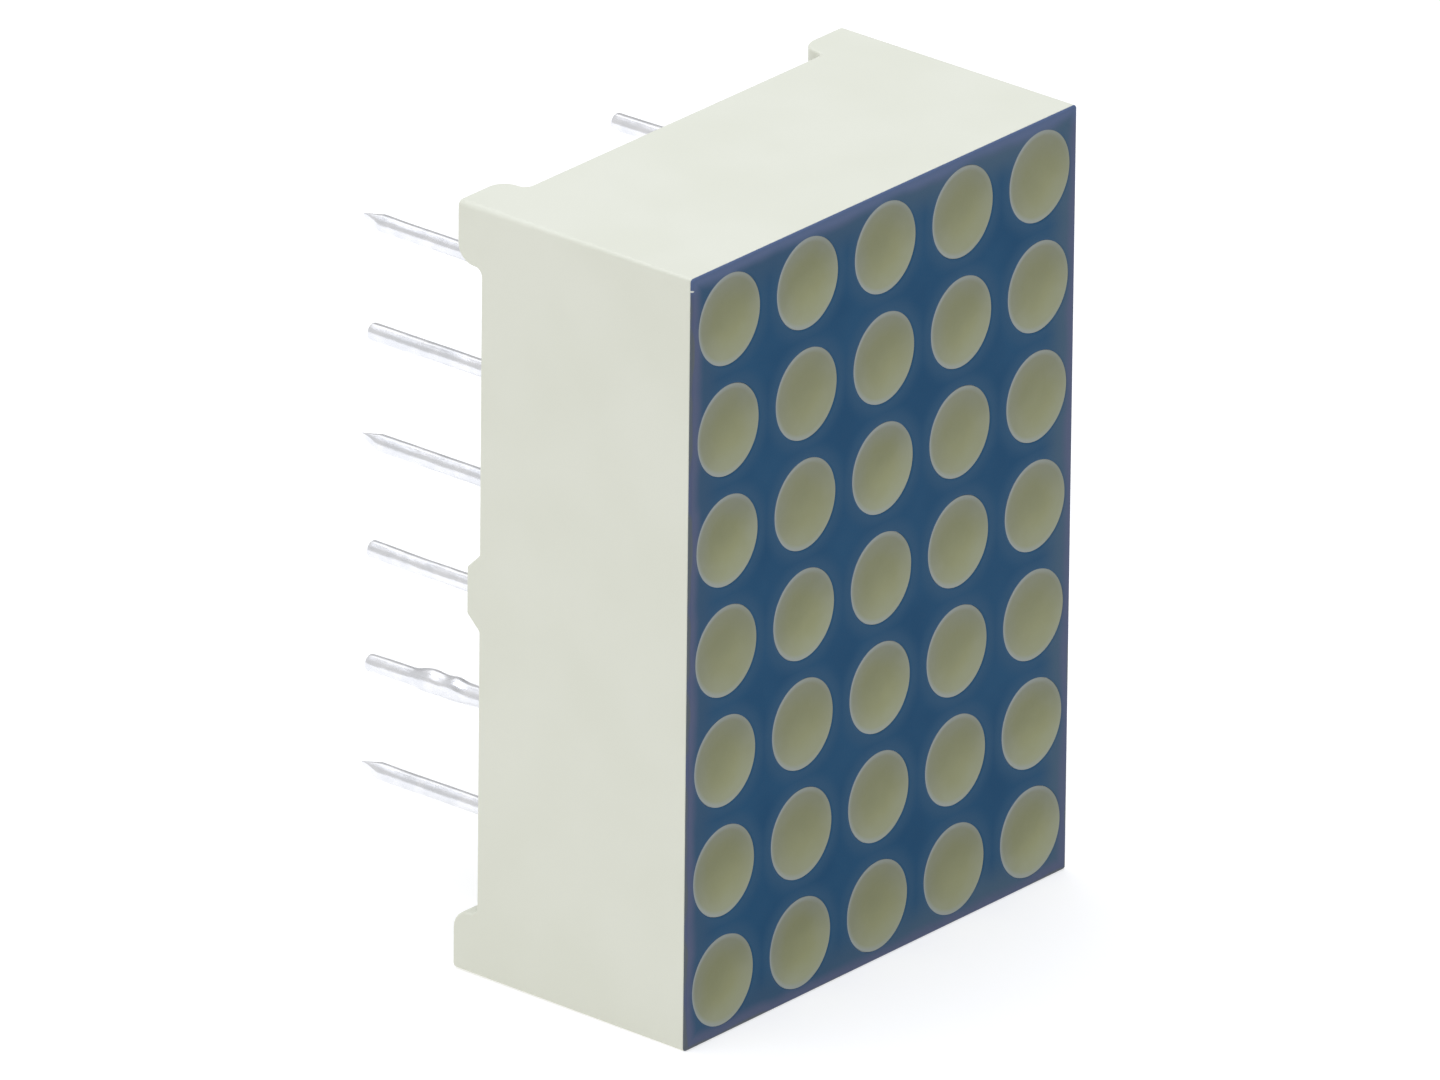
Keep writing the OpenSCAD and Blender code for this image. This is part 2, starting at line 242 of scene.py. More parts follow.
def use(tree, group, **values):
    made = tree.nodes.new("ShaderNodeGroup")
    made.node_tree = group
    for label, value in values.items():
        made.inputs[label.replace("_", " ")].default_value = value
    return made


def new_material(name, **constants):
    """A material with its Principled shader, and the constants set on the shader's own sockets."""
    material = bpy.data.materials.new(name)
    material.use_nodes = True
    tree = material.node_tree
    tree.nodes.clear()
    shader = tree.nodes.new("ShaderNodeBsdfPrincipled")
    surface = tree.nodes.new("ShaderNodeOutputMaterial")
    tree.links.new(shader.outputs["BSDF"], surface.inputs["Surface"])
    for label, value in constants.items():
        shader.inputs[label.replace("_", " ")].default_value = value
    return material, tree, shader


def roughness(tree, shader, value, least, spread):
    """Roughness from least upwards: value, from 0 to 1, takes it up by spread."""
    tree.links.new(maths(tree, "MULTIPLY_ADD", value, spread, least), shader.inputs["Roughness"])


def bump(tree, shader, height, distance, strength=1.0):
    made = node(tree, "ShaderNodeBump", {"Height": height, "Distance": distance, "Strength": strength})
    tree.links.new(made.outputs["Normal"], shader.inputs["Normal"])


def simple_finish(name, light, dark, least_rough, grain_size, metallic=0.0):
    """Two close tones that drift into each other, a varied roughness and a fine grain."""
    material, tree, shader = new_material(name, Metallic=metallic)
    grain = use(tree, GRAIN, Grain_Size=grain_size, Mottle_Size=grain_size * 12)
    tree.links.new(mix(tree, grain.outputs["Mottle"], dark, light), shader.inputs["Base Color"])
    roughness(tree, shader, grain.outputs["Grain"], least_rough, 0.15)
    bump(tree, shader, grain.outputs["Grain"], 0.002 * MM)
    return material


# ---- Finishes ----

def white_plastic():
    """Moulded white polyester: a warm white with a fine satin grain."""
    material, tree, shader = new_material("white_moulded_plastic", IOR=1.5)
    grain = use(tree, GRAIN, Grain_Size=0.06, Mottle_Size=3.0)
    tone = mix(tree, grain.outputs["Mottle"], (0.684, 0.692, 0.586), (0.706, 0.713, 0.612))
    tree.links.new(tone, shader.inputs["Base Color"])
    roughness(tree, shader, grain.outputs["Grain"], 0.4, 0.2)
    bump(tree, shader, grain.outputs["Grain"], 0.004 * MM, 0.6)
    return material


# A nick in the ink's edge, just below the upper left corner, that bares the white plastic
NICK = Vector((-WIDTH / 2, FACE_Y, HEIGHT / 2 - 0.27 * MM))
NICK_L = 0.055 * MM
NICK_H = 0.022 * MM
BARE_PLASTIC = (0.76, 0.766, 0.69)
# Where each change in the ink begins and is complete: out from a window, and in from the face's edge
HALO = (0.45 * MM, 0.05 * MM)
MARGIN = (1.1 * MM, 0.3 * MM)
# The grey band is thinner ink near the face's edges, with painted light where the rounded edge catches the
# lamps
GREY_AND_LIT_BAND = (0.38 * MM, 0.08 * MM)
# A dark grey line at the very edge of the face: painted shade on the rounded edges that turn away from the
# light
SHADED_EDGE = (0.06 * MM, 0)
# Near the upper edge the band turns paler and bluer: painted light from above
LIT_UPPER_EDGE = (HEIGHT / 2 - 0.5 * MM, HEIGHT / 2 - 0.1 * MM)
EDGE_WOBBLE = 0.12 * MM


def blue_ink():
    """Printed blue ink: deep in the field, thinner round the windows, and grey at the face's edges, with
    painted light in that grey band and a painted shade line at the very edge.
    """
    material, tree, shader = new_material("printed_blue_ink", IOR=1.5, Specular_IOR_Level=0.1)
    grain = use(tree, GRAIN, Grain_Size=0.05, Mottle_Size=1.6)
    place = node(tree, "ShaderNodeTexCoord").outputs["Object"]
    parts = node(tree, "ShaderNodeSeparateXYZ", {"Vector": place})
    from_side = maths(tree, "SUBTRACT", WIDTH / 2, maths(tree, "ABSOLUTE", parts.outputs["X"]))
    from_end = maths(tree, "SUBTRACT", HEIGHT / 2, maths(tree, "ABSOLUTE", parts.outputs["Z"]))
    wobble = maths(tree, "MULTIPLY", maths(tree, "SUBTRACT", grain.outputs["Mottle"], 0.5), EDGE_WOBBLE)
    nearest = maths(tree, "ADD", maths(tree, "MINIMUM", from_side, from_end), wobble)
    across = maths(tree, "PINGPONG", parts.outputs["X"], PITCH / 2)
    up = maths(tree, "PINGPONG", parts.outputs["Z"], PITCH / 2)
    window = maths(tree, "SUBTRACT", maths(tree, "SQRT", sum_of_squares(tree, across, up)), WINDOW_R)
    field = mix(tree, grain.outputs["Mottle"], srgb(10, 66, 102), srgb(22, 72, 107))
    tone = mix(tree, ramp(tree, window, *HALO), field, srgb(38, 77, 108))
    rightwards = ramp(tree, parts.outputs["X"], -WIDTH / 3, WIDTH / 3)
    margin = mix(tree, rightwards, srgb(46, 77, 105), srgb(62, 87, 109))
    tone = mix(tree, ramp(tree, nearest, *MARGIN), tone, margin)
    # Grey band by the edges: thinner ink plus painted light, paler and bluer along the top as painted light
    # from above
    lit_top = ramp(tree, parts.outputs["Z"], *LIT_UPPER_EDGE)
    grey_and_lit_band = mix(tree, lit_top, srgb(80, 89, 116), srgb(82, 98, 130))
    tone = mix(tree, ramp(tree, nearest, *GREY_AND_LIT_BAND), tone, grey_and_lit_band)
    # The dark grey line at the very edge, left out along the lit top: painted shade on the rounded edges
    not_lit_top = maths(tree, "SUBTRACT", 1.0, lit_top)
    painted_edge_shade = maths(tree, "MULTIPLY", ramp(tree, nearest, *SHADED_EDGE), not_lit_top)
    tone = mix(tree, painted_edge_shade, tone, srgb(88, 95, 102))
    nick_x = maths(tree, "DIVIDE", maths(tree, "SUBTRACT", parts.outputs["X"], NICK.x), NICK_L)
    nick_z = maths(tree, "DIVIDE", maths(tree, "SUBTRACT", parts.outputs["Z"], NICK.z), NICK_H)
    nick = ramp(tree, sum_of_squares(tree, nick_x, nick_z), 1.4, 0.4)
    tone = mix(tree, maths(tree, "MULTIPLY", nick, 0.8), tone, BARE_PLASTIC)
    tree.links.new(tone, shader.inputs["Base Color"])
    roughness(tree, shader, grain.outputs["Grain"], 0.38, 0.25)
    bump(tree, shader, grain.outputs["Grain"], 0.004 * MM, 0.7)
    return material


def dot_resin():
    """Cast diffusing resin: olive, and paler over the cup's white wall; paler towards the lower right and
    darker to the upper left is painted light and shade of the hollow front.
    """
    material, tree, shader = new_material("diffusing_dot_resin", IOR=1.52)
    grain = use(tree, GRAIN, Grain_Size=0.08, Mottle_Size=0.7)
    told = {
        name: node(tree, "ShaderNodeAttribute", attribute_name=name).outputs["Fac"]
        for name in ("from_middle", "painted_light_slant", "pale_rim", "batch")
    }
    wander = maths(tree, "MULTIPLY", maths(tree, "SUBTRACT", grain.outputs["Mottle"], 0.5), 0.15)
    # Paler towards the lower right, darker towards the upper left: painted light and shade of the hollow
    # front, lit from the upper left
    painted_lit_side = ramp(tree, maths(tree, "ADD", told["painted_light_slant"], wander), -0.5, 1.0)
    tone = mix(tree, painted_lit_side, srgb(109, 112, 68), srgb(143, 146, 101))
    outer = ramp(tree, maths(tree, "ADD", told["from_middle"], wander), 0.35, 1.05)
    tone = mix(tree, outer, tone, (0.0, 0.006, 0.055), "ADD")
    tone = mix(tree, maths(tree, "MULTIPLY", told["batch"], 0.35), tone, srgb(118, 120, 84))
    tone = mix(tree, told["pale_rim"], tone, srgb(140, 149, 152))
    tree.links.new(tone, shader.inputs["Base Color"])
    roughness(tree, shader, grain.outputs["Grain"], 0.3, 0.2)
    bump(tree, shader, grain.outputs["Grain"], 0.003 * MM, 0.6)
    return material


def potting_resin():
    """Cast potting: glossy olive resin with faint cloudiness and a few specks."""
    material, tree, shader = new_material("potting_resin", IOR=1.53)
    grain = use(tree, GRAIN, Grain_Size=0.4, Mottle_Size=2.5)
    specks = use(tree, SPECKS, Spacing=0.9, Size=0.035)
    tone = mix(tree, grain.outputs["Mottle"], srgb(126, 129, 96), srgb(141, 143, 112))
    tone = mix(tree, maths(tree, "MULTIPLY", specks.outputs["Mask"], 0.5), tone, srgb(176, 176, 150))
    tree.links.new(tone, shader.inputs["Base Color"])
    roughness(tree, shader, grain.outputs["Grain"], 0.1, 0.12)
    bump(tree, shader, grain.outputs["Grain"], 0.01 * MM, 0.6)
    return material


def tinned_wire():
    """Hot-dipped tin on wire: bright, drawn out along the pin, with duller runs."""
    material, tree, shader = new_material("dipped_tin", Metallic=1.0)
    drawn = place_in_mm(tree, (6, 1.6, 6))
    waves = node(tree, "ShaderNodeTexNoise", {"Vector": drawn, "Scale": 1.0, "Detail": 2.0})
    grain = use(tree, GRAIN, Grain_Size=0.05, Mottle_Size=0.5)
    tone = mix(tree, grain.outputs["Mottle"], (0.78, 0.79, 0.82), (0.88, 0.88, 0.90))
    tree.links.new(tone, shader.inputs["Base Color"])
    roughness(tree, shader, waves.outputs["Fac"], 0.12, 0.3)
    bump(tree, shader, waves.outputs["Fac"], 0.02 * MM, 0.6)
    return material


def glass_epoxy():
    """Glass-epoxy laminate: the weave shows faintly through the green-yellow resin."""
    material, tree, shader = new_material("glass_epoxy", IOR=1.5)
    place = node(tree, "ShaderNodeTexCoord").outputs["Object"]
    threads = []
    for direction in ("X", "Z"):
        given = {"Vector": place, "Scale": 0.35 / MM}
        threads.append(node(tree, "ShaderNodeTexWave", given, bands_direction=direction).outputs["Fac"])
    weave = maths(tree, "MULTIPLY", *threads)
    tone = mix(tree, weave, (0.40, 0.48, 0.24), (0.50, 0.57, 0.33))
    tree.links.new(tone, shader.inputs["Base Color"])
    roughness(tree, shader, weave, 0.35, 0.15)
    bump(tree, shader, weave, 0.004 * MM)
    return material


def stage_paper():
    """The floor: pale paper that gives back some light of its own, so that shadows on it stay faint."""
    material, tree, shader = new_material("stage_paper", Roughness=0.9, Emission_Strength=0.55)
    grain = use(tree, GRAIN, Grain_Size=2.0, Mottle_Size=80.0)
    tone = mix(tree, grain.outputs["Mottle"], (0.52, 0.52, 0.52), (0.54, 0.54, 0.54))
    tree.links.new(tone, shader.inputs["Base Color"])
    shader.inputs["Emission Color"].default_value = (1, 1, 1, 1)
    return material


# ---- Mesh helpers ----

def smooth(value, low, high):
    """Rises smoothly from 0 at low to 1 at high."""
    t = min(max((value - low) / (high - low), 0), 1)
    return t * t * (3 - 2 * t)


def add_piece(name, bm, material, replaced, sharp_degrees=40):
    """Turns a mesh into a piece that stands for CAD nodes."""
    bmesh.ops.recalc_face_normals(bm, faces=bm.faces)
    mesh = bpy.data.meshes.new(name)
    bm.to_mesh(mesh)
    bm.free()
    mesh.shade_smooth()
    mesh.set_sharp_from_angle(angle=math.radians(sharp_degrees))
    mesh.materials.append(material)
    piece = bpy.data.objects.new(name, mesh)
    bpy.context.scene.collection.objects.link(piece)
    even = piece.modifiers.new("even_normals", "WEIGHTED_NORMAL")
    even.keep_sharp = True
    even.weight = 100
    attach(piece, "root")
    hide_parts(*replaced)
    return piece


def bridge(bm, first, second):
    """Quads between two closed rings of as many points."""
    count = len(first)
    for i in range(count):
        j = (i + 1) % count
        bm.faces.new((first[i], first[j], second[j], second[i]))


def bridge_rows(bm, rows):
    """Quads from each closed ring to the next."""
    for first, second in zip(rows, rows[1:]):
        bridge(bm, first, second)


def ring_edges(bm, ring):
    edges = []
    for i, start in enumerate(ring):
        ends = (start, ring[(i + 1) % len(ring)])
        edges.append(bm.edges.get(ends) or bm.edges.new(ends))
    return edges


def round_over(radius, steps=4):
    """The steps round a rounded edge, from its side to its top: inset, and depth below the top."""
    turns = [math.pi / 2 * s / steps for s in range(steps + 1)]
    return [(radius * (1 - math.cos(a)), radius * (1 - math.sin(a))) for a in turns]


def fill_flat(bm, rings, normal):
    """Fills the flat area inside the first ring and outside the others."""
    edges = [e for ring in rings for e in ring_edges(bm, ring)]
    bmesh.ops.triangle_fill(bm, use_beauty=True, use_dissolve=False, edges=edges, normal=normal)


def circle_ring(bm, x, z, y, radius, steps, wobble=None, stretch=0):
    """A closed ring round (x, z). stretch makes it taller and narrower, and wobble uneven."""
    ring = []
    for i in range(steps):
        a = 2 * math.pi * i / steps
        r = radius + (wobble(a) if wobble else 0) - stretch * math.cos(2 * a)
        ring.append(bm.verts.new((x + r * math.cos(a), y, z + r * math.sin(a))))
    return ring


def cup_mouth(bm, place, y, share, steps):
    """The outline of a cup's mouth, or a smaller one inside it, at depth y."""
    return circle_ring(bm, place.x, place.z, y, CUP_FRONT_R * share, steps, stretch=CUP_STRETCH * share)


def outline_ring(bm, inset, corner_r, y, half=(WIDTH / 2, HEIGHT / 2)):
    """A closed ring round a rounded rectangle, with its points in the corners only."""
    ring = []
    for k in range(4):
        for i in range(CORNER_STEPS + 1):
            ring.append(bm.verts.new(corner_point(k, i, inset, corner_r, y, half)))
    return ring


def corner_point(k, i, inset, corner_r, y, half=(WIDTH / 2, HEIGHT / 2)):
    """Point i of the round corner at the end of side k."""
    (nx, nz), (tx, tz) = SIDES[k]
    out_x, out_z = half[0] - inset - corner_r, half[1] - inset - corner_r
    a = math.atan2(nz, nx) + math.pi / 2 * i / CORNER_STEPS
    return ((nx + tx) * out_x + corner_r * math.cos(a), y, (nz + tz) * out_z + corner_r * math.sin(a))


def round_off(points, steps=6):
    """A line through points (u, h, radius), with its corners rounded, as (u, h, normal u, normal h)."""
    line = []
    for i, (u, h, r) in enumerate(points):
        here = Vector((u, h))
        if r == 0 or i in (0, len(points) - 1):
            line.append(here)
            continue
        before = (Vector(points[i - 1][:2]) - here).normalized()
        after = (Vector(points[i + 1][:2]) - here).normalized()
        half_angle = before.angle(after) / 2
        reach = r / math.tan(half_angle)
        centre = here + (before + after).normalized() * (r / math.sin(half_angle))
        start, end = here + before * reach - centre, here + after * reach - centre
        turn = start.angle_signed(end)
        for s in range(steps + 1):
            a = -turn * s / steps
            line.append(centre + Vector((start.x * math.cos(a) - start.y * math.sin(a),
                                         start.x * math.sin(a) + start.y * math.cos(a))))
    out = []
    for i, p in enumerate(line):
        before = line[max(i - 1, 0)]
        after = line[min(i + 1, len(line) - 1)]
        first, second = (p - before), (after - p)
        along = (first.normalized() if first.length > 0 else Vector((0, 0)))
        along += second.normalized() if second.length > 0 else Vector((0, 0))
        along.normalize()
        out.append((p.x, p.y, -along.y, along.x))
    return out


# ---- Housing ----

def rim_line(k):
    """The rim's height along side k: a foot at each end, and a nub at the middle of the long sides."""
    long_side = SIDES[k][0][0] != 0
    half = HEIGHT / 2 if long_side else WIDTH / 2
    inner_end = half - (FOOT_ALONG if long_side else FOOT_ACROSS)
    corner = half - WALL - RECESS_R
    right = [(inner_end, 0, FOOT_FILLET), (inner_end, FOOT_H, FOOT_R), (corner, FOOT_H, 0)]
    if long_side:
        right = [(NUB_TOP / 2, NUB_H, NUB_TOP_R), (NUB_BASE / 2, 0, NUB_BASE_R)] + right
    left = [(-u, h, r) for u, h, r in reversed(right)]
    return round_off(left + right)[1:-1]


def rim_stations():
    """Every place round the rim: ("side", k, u, h, normal u, normal h) or ("corner", k, i)."""
    places = []
    for k in range(4):
        places += [("side", k, *p) for p in rim_line(k)]
        places += [("corner", k, i) for i in range(CORNER_STEPS + 1)]
    return places


def rim_point(place, down, in_from_outside=None, in_from_inside=None):
    """A point of the rim: down is how far below the rim line, along its normal."""
    if place[0] == "corner":
        y = RIM_Y + FOOT_H - down
        if in_from_inside is None:
            t = in_from_outside
            return corner_point(place[1], place[2], t, CORNER_R - t, y)
        t = in_from_inside
        return corner_point(place[1], place[2], WALL - t, RECESS_R + t, y)
    _, k, u, h, nu, nh = place
    (nx, nz), (tx, tz) = SIDES[k]
    half = WIDTH / 2 if nx else HEIGHT / 2
    out = half - (in_from_outside if in_from_inside is None else WALL - in_from_inside)
    u -= nu * down
    return (nx * out + tx * u, RIM_Y + h - nh * down, nz * out + tz * u)


def wall_faces(bm, places, top, bottom):
    """Flat faces below the rim's edge: one on each side, and narrow strips round the corners."""
    count = len(places)
    corners = [i for i, p in enumerate(places) if p[0] == "corner"]
    low = dict(zip(corners, bottom))
    for i in corners:
        j = (i + 1) % count
        if j in low:
            bm.faces.new((top[i], top[j], low[j], low[i]))
            continue
        run = [i]
        while j not in low:
            run.append(j)
            j = (j + 1) % count
        run.append(j)
        bm.faces.new([top[x] for x in run] + [low[j], low[i]])


def build_housing(material):
    bm = bmesh.new()
    places = rim_stations()
    rows = []
    for inset, down in round_over(RIM_EDGE_R):
        rows.append([bm.verts.new(rim_point(p, down, in_from_outside=inset)) for p in places])
    for inset, down in reversed(round_over(RIM_EDGE_R)):
        rows.append([bm.verts.new(rim_point(p, down, in_from_inside=inset)) for p in places])
    bridge_rows(bm, rows)

    # front edge, rounded
    fronts = []
    for inset, back in round_over(FRONT_EDGE_R):
        fronts.append(outline_ring(bm, inset, FRONT_CORNER_R - inset, FACE_Y + back))
    bridge_rows(bm, fronts)
    wall_faces(bm, places, rows[0], fronts[0])

    # recess, cups and pockets
    floor = outline_ring(bm, WALL, RECESS_R, BLOCK_Y)
    wall_faces(bm, places, rows[-1], floor)
    cup_fronts, cup_rears, pocket_mouths = [], [], []
    for place in dot_places.values():
        front = cup_mouth(bm, place, FACE_Y, 1, CUP_STEPS)
        rear = circle_ring(bm, place.x, place.z, BLOCK_Y, CUP_REAR_R, CUP_STEPS)
        bridge(bm, front, rear)
        cup_fronts.append(front)
        cup_rears.append(rear)
    for place in pin_places.values():
        mouth = circle_ring(bm, place.x, place.z, BLOCK_Y, POCKET_R, POCKET_STEPS)
        bottom = circle_ring(bm, place.x, place.z, BLOCK_Y - POCKET_DEPTH, POCKET_R, POCKET_STEPS)
        bridge(bm, mouth, bottom)
        bm.faces.new(bottom)
        pocket_mouths.append(mouth)
    fill_flat(bm, [fronts[-1]] + cup_fronts, (0, -1, 0))
    fill_flat(bm, [floor] + cup_rears + pocket_mouths, (0, 1, 0))
    add_piece("housing_moulding", bm, material, ["housing"])


# ---- Ink, dots and potting ----

INK_T = FACE_Y - INK_Y
# The ink lies this far into the plastic
INK_BITE = 0.002 * MM
FLAT_CORNER_R = 0.05 * MM
FLAT_INSET = 0.06 * MM
# The windows' edges: how uneven, how far down the lip is, and rings that keep the field flat
WINDOW_WAVE = 0.006 * MM
LIP_DROP = 0.012 * MM
WINDOW_RINGS = ((0.07 * MM, INK_Y), (0.02 * MM, INK_Y), (0, INK_Y + LIP_DROP), (0, FACE_Y + INK_BITE))


def uneven(seed, size):
    """A slightly irregular radius: a few low waves round the circle."""
    rng = random.Random(seed)
    waves = [(k, rng.uniform(-1, 1), rng.uniform(0, 2 * math.pi)) for k in (2, 3, 4, 6, 9, 13)]
    return lambda a: size * sum(w * math.sin(k * a + p) / math.sqrt(k) for k, w, p in waves)


# How far the ink runs round the rounded front edge, in degrees
WRAP = 55


def build_ink(material):
    bm = bmesh.new()
    steps = 6
    front_rows, back_rows = [], []
    for s in range(steps + 1):
        a = math.radians(90 - WRAP * s / steps)
        thick = INK_T * math.sin(a) ** 2
        for rows, r in ((front_rows, FRONT_EDGE_R + thick), (back_rows, FRONT_EDGE_R - INK_BITE)):
            inset = FRONT_EDGE_R - r * math.cos(a)
            y = FACE_Y + FRONT_EDGE_R - r * math.sin(a)
            rows.append(outline_ring(bm, inset, FRONT_CORNER_R - inset, y))
    bridge_rows(bm, front_rows)
    bridge_rows(bm, back_rows)
    bridge(bm, front_rows[-1], back_rows[-1])
    front_windows, back_windows = [], []
    for (r, c), place in dot_places.items():
        wave = uneven(100 * r + c, WINDOW_WAVE)
        rings = []
        for out, y in WINDOW_RINGS:
            rings.append(circle_ring(bm, place.x, place.z, y, WINDOW_R + out, DOT_STEPS, wave, CUP_STRETCH))
        bridge_rows(bm, rings)
        front_windows.append(rings[0])
        back_windows.append(rings[-1])
    flat_edge = outline_ring(bm, FRONT_EDGE_R + FLAT_INSET, FLAT_CORNER_R, INK_Y)
    bridge(bm, flat_edge, front_rows[0])
    fill_flat(bm, [flat_edge] + front_windows, (0, -1, 0))
    fill_flat(bm, [back_rows[0]] + back_windows, (0, -1, 0))
    add_piece("face_print", bm, material, ["face_ink"])


# Shares of a dot's radius: where its pale rim begins, and the rings of its front
PALE_RIM = 0.88
DOT_RINGS = [i / 16 for i in range(1, 16)] + [0.97, 1]
# The hollow of its front: least and greatest depth, and how steeply it rises towards the rim
HOLLOW_DEPTH = (0.05, 0.075)
HOLLOW_CURVE = 2.2


def build_dot(row, column, material):
    """A turned plug of resin that fills its cup, with a shrunk, hollow front."""
    place = dot_places[row, column]
    rng = random.Random(7 * row + 31 * column)
    depth = rng.uniform(*HOLLOW_DEPTH) * MM
    tint = rng.random()
    rim_y = INK_Y + LIP_DROP
    bm = bmesh.new()
    tip = bm.verts.new((place.x, rim_y + depth, place.z))
    circles = []
    for share in DOT_RINGS:
        y = rim_y + depth * (1 - share ** HOLLOW_CURVE)
        circles.append(cup_mouth(bm, place, y, share, DOT_STEPS))
    for i in range(DOT_STEPS):
        bm.faces.new((tip, circles[0][(i + 1) % DOT_STEPS], circles[0][i]))
    front = cup_mouth(bm, place, FACE_Y, 1, DOT_STEPS)
    rear = circle_ring(bm, place.x, place.z, BLOCK_Y, CUP_REAR_R, DOT_STEPS)
    bridge_rows(bm, circles + [front, rear])
    bm.faces.new(rear)
    name = dot_name(row, column)
    piece = add_piece(f"resin_{name}", bm, material, [name])
    told = {"from_middle": [], "painted_light_slant": [], "pale_rim": [], "batch": []}
    for v in piece.data.vertices:
        x = (v.co.x - place.x) / CUP_FRONT_R
        z = (v.co.z - place.z) / CUP_FRONT_R
        out = math.hypot(x, z)
        told["from_middle"].append(out)
        # The slant runs from the upper left to the lower right, for painted light on the hollow's lower
        # right side
        told["painted_light_slant"].append(0.45 * x - 0.9 * z)
        told["pale_rim"].append((0.55 - 0.35 * x) * smooth(out, PALE_RIM, 1))
        told["batch"].append(tint)
    for label, values in told.items():
        piece.data.attributes.new(label, "FLOAT", "POINT").data.foreach_set("value", values)


# The potting's climb up the walls and the pins: how far out it reaches, its height and its fade
WALL_REACH = 0.9 * MM
WALL_CLIMB = 0.12 * MM
WALL_FADE = 0.22 * MM
PIN_REACH = 0.6 * MM
PIN_FADE = 0.11 * MM
CLIMB_STEPS = 8
CLIMB_CORNER_R = 0.1 * MM
PIN_HOLE_STEPS = 40


def climbs(reach, height, fade, spacing):
    """Each row of a climb: its distance from the wall or the pin, and its height."""
    rows = []
    for s in range(CLIMB_STEPS + 1):
        out = reach * (s / CLIMB_STEPS) ** spacing
        rows.append((out, height * math.exp(-out / fade) if s < CLIMB_STEPS else 0))
    return rows


def build_potting(material):
    """Cast over the board, with its surface drawn up at the walls and the pins."""
    bm = bmesh.new()
    half = (WIDTH / 2 - WALL, HEIGHT / 2 - WALL)
    wall_rows = []
    for inset, climb in climbs(WALL_REACH, WALL_CLIMB, WALL_FADE, 1.6):
        corner = max(RECESS_R - inset * 0.25, CLIMB_CORNER_R)
        wall_rows.append(outline_ring(bm, inset, corner, POTTING_Y + climb, half))
    bridge_rows(bm, wall_rows)
    mouths, feet = [], []
    for place in pin_places.values():
        rows = []
        for out, climb in climbs(PIN_REACH, CREEP, PIN_FADE, 1.8):
            y = POTTING_Y + climb
            rows.append(circle_ring(bm, place.x, place.z, y, WIRE_R + out, PIN_HOLE_STEPS))
        bridge_rows(bm, rows)
        foot = circle_ring(bm, place.x, place.z, BOARD_REAR_Y, WIRE_R, PIN_HOLE_STEPS)
        bridge(bm, rows[0], foot)
        mouths.append(rows[-1])
        feet.append(foot)
    fill_flat(bm, [wall_rows[-1]] + mouths, (0, 1, 0))
    skirt = outline_ring(bm, 0, RECESS_R, BOARD_FRONT_Y, half)
    lip = outline_ring(bm, BOARD_GAP, RECESS_R - BOARD_GAP, BOARD_FRONT_Y, half)
    over_board = outline_ring(bm, BOARD_GAP, RECESS_R - BOARD_GAP, BOARD_REAR_Y, half)
    bridge_rows(bm, [wall_rows[0], skirt, lip, over_board])
    fill_flat(bm, [over_board] + feet, (0, -1, 0))
    add_piece("potting_cast", bm, material, ["potting"])


# ---- Pins ----

PINCHED = (1, 3, 6, 8, 10)
BUILT_UP = 5
PIN_STEPS = 28
PIN_ROW = 0.08 * MM
# The hidden end's bevel, and the edge where the tin begins
BEVEL_L = 0.03 * MM
BEVEL_R = 0.02 * MM
TIN_EDGE = 0.001 * MM
TIN_WAVE = 0.012 * MM
# A square cut rounds over within BLUNT_L, and a pinched tip thins over TIP_L
BLUNT_L = 0.05 * MM
BLUNT_SHRINK = 0.18
TIP_L = 0.45 * MM
TIP_T = 0.06 * MM
TIP_NARROWS = 0.12
TIP_TURN = math.radians(35)
BUILD_UP_R = 0.27 * MM
BUILD_UP_END = 3.3 * MM
BUILD_UP_LUMP = 0.03 * MM
# Beads on the upper side of the built-up solder: their height, where each stands, and its half length
BEAD_H = 0.038 * MM
SOLDER_BEADS = ((2.72 * MM, 0.24 * MM), (2.05 * MM, 0.18 * MM))
# Pins bent a little in handling: how far down the tip has gone
TIP_DROP = {2: 0.036 * MM, 3: 0.013 * MM, 5: 0.12 * MM, 6: 0.04 * MM, 12: 0.074 * MM}


def pin_radius(k, y, angle):
    """Radius of the pin: bare wire inside, wavy tin outside, and lumps where the solder has run."""
    if y < TIN_Y:
        return WIRE_R
    wave = noise.noise(Vector((math.cos(angle) * 0.6, y / MM * 0.9, math.sin(angle) * 0.6 + 10 * k)))
    r = TIN_R + TIN_WAVE * (wave - 0.4)
    if k == BUILT_UP:
        full = smooth(y, TIN_Y, TIN_Y + 0.3 * MM)
        full *= 1 - smooth(y, BUILD_UP_END - 0.35 * MM, BUILD_UP_END)
        lumps = noise.noise(Vector((math.cos(angle) * 1.1, y / MM * 1.7, math.sin(angle) * 1.1 + 3)))
        r += full * ((BUILD_UP_R - TIN_R) * 0.6 + BUILD_UP_LUMP * lumps)
        for bead_y, bead_half in SOLDER_BEADS:
            r += BEAD_H * max(math.sin(angle), 0) * math.exp(-((y - bead_y) / bead_half) ** 2)
    return r


def pin_rows(k, body_end, end_y):
    """Where the rings of a pin stand along it."""
    count = int((body_end - TIN_Y) / PIN_ROW)
    tip_rows = 8 if k in PINCHED else 4
    ys = [PIN_FRONT_Y, PIN_FRONT_Y + BEVEL_L, TIN_Y - TIN_EDGE, TIN_Y]
    ys += [TIN_Y + (body_end - TIN_Y) * i / count for i in range(1, count + 1)]
    ys += [body_end + (end_y - body_end) * i / tip_rows for i in range(1, tip_rows + 1)]
    return ys


def pinch(px, pz, into_tip):
    """Squeezes a point of the wire towards the turned, thin edge that the cutter leaves."""
    across = (math.cos(TIP_TURN), math.sin(TIP_TURN))
    flat = px * across[0] + pz * across[1]
    along = -px * across[1] + pz * across[0]
    flat *= 1 - into_tip * (1 - TIP_T / 2 / TIN_R)
    along *= 1 - TIP_NARROWS * into_tip ** 3
    return flat * across[0] - along * across[1], flat * across[1] + along * across[0]


